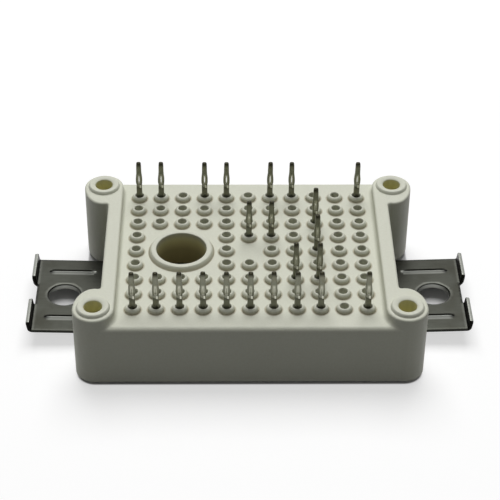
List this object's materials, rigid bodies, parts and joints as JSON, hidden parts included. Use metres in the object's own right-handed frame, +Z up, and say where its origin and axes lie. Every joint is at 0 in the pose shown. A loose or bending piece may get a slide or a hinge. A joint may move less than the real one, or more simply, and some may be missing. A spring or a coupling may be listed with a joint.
{
  "type": "igbt module",
  "caption": "Low power semiconductor module: moulded housing with screw posts, lid of guide bosses, press-fit contacts standing up, sheet clamps at both ends.",
  "frame": {"origin": "middle of the box at the height of the bare copper base it stands on", "axes": "+X runs through the two clamps, +Y to the rear, +Z up through the contacts"},
  "size_m": [0.0628, 0.0338, 0.0167],
  "materials": {
    "moulded_housing": "moulded, ivory, satin",
    "clamp_steel": "rolled sheet, dark grey, satin",
    "tinned_contact": "stamped, tin plated, semi-bright",
    "sleeve_metal": "tin plated",
    "heat_copper": "rolled copper, bare, lightly tarnished",
    "track_copper": "rolled copper, bare",
    "substrate_ceramic": "fired alumina, matt white",
    "silicon_chip": "metallised silicon",
    "solder": "soft solder, dull",
    "bond_aluminium": "drawn, bright",
    "seam_adhesive": "cured silicone, grey",
    "silicone_fill": "cured silicone, clear over the chips",
    "sensor_ceramic": "sintered, end caps tinned"
  },
  "bodies": {
    "root": {"adhesive_bead": "seam_adhesive", "base_copper": "heat_copper", "bond_wires": "bond_aluminium", "brake_diode_chip": "silicon_chip", "brake_igbt_chip": "silicon_chip", "ceramic_plate": "substrate_ceramic", "clamp_left": "clamp_steel", "clamp_right": "clamp_steel", "contact_pin_r0_c0": "tinned_contact", "contact_pin_r0_c1": "tinned_contact", "contact_pin_r0_c10": "tinned_contact", "contact_pin_r0_c3": "tinned_contact", "contact_pin_r0_c4": "tinned_contact", "contact_pin_r0_c6": "tinned_contact", "contact_pin_r0_c7": "tinned_contact", "contact_pin_r2_c8": "tinned_contact", "contact_pin_r3_c5": "tinned_contact", "contact_pin_r3_c6": "tinned_contact", "contact_pin_r4_c8": "tinned_contact", "contact_pin_r6_c7": "tinned_contact", "contact_pin_r6_c8": "tinned_contact", "contact_pin_r8_c0": "tinned_contact", "contact_pin_r8_c1": "tinned_contact", "contact_pin_r8_c10": "tinned_contact", "contact_pin_r8_c2": "tinned_contact", "contact_pin_r8_c3": "tinned_contact", "contact_pin_r8_c4": "tinned_contact", "contact_pin_r8_c5": "tinned_contact", "contact_pin_r8_c6": "tinned_contact", "contact_pin_r8_c7": "tinned_contact", "contact_pin_r8_c8": "tinned_contact", "copper_tracks": "track_copper", "freewheel_diode_chip_1": "silicon_chip", "freewheel_diode_chip_2": "silicon_chip", "freewheel_diode_chip_3": "silicon_chip", "freewheel_diode_chip_4": "silicon_chip", "freewheel_diode_chip_5": "silicon_chip", "freewheel_diode_chip_6": "silicon_chip", "housing": "moulded_housing", "inverter_igbt_chip_1": "silicon_chip", "inverter_igbt_chip_2": "silicon_chip", "inverter_igbt_chip_3": "silicon_chip", "inverter_igbt_chip_4": "silicon_chip", "inverter_igbt_chip_5": "silicon_chip", "inverter_igbt_chip_6": "silicon_chip", "pin_sleeves": "sleeve_metal", "rectifier_diode_chip_1": "silicon_chip", "rectifier_diode_chip_2": "silicon_chip", "rectifier_diode_chip_3": "silicon_chip", "rectifier_diode_chip_4": "silicon_chip", "rectifier_diode_chip_5": "silicon_chip", "rectifier_diode_chip_6": "silicon_chip", "silicone_gel": "silicone_fill", "solder_joints": "solder", "thermistor": "sensor_ceramic"}
  },
  "joints": []
}
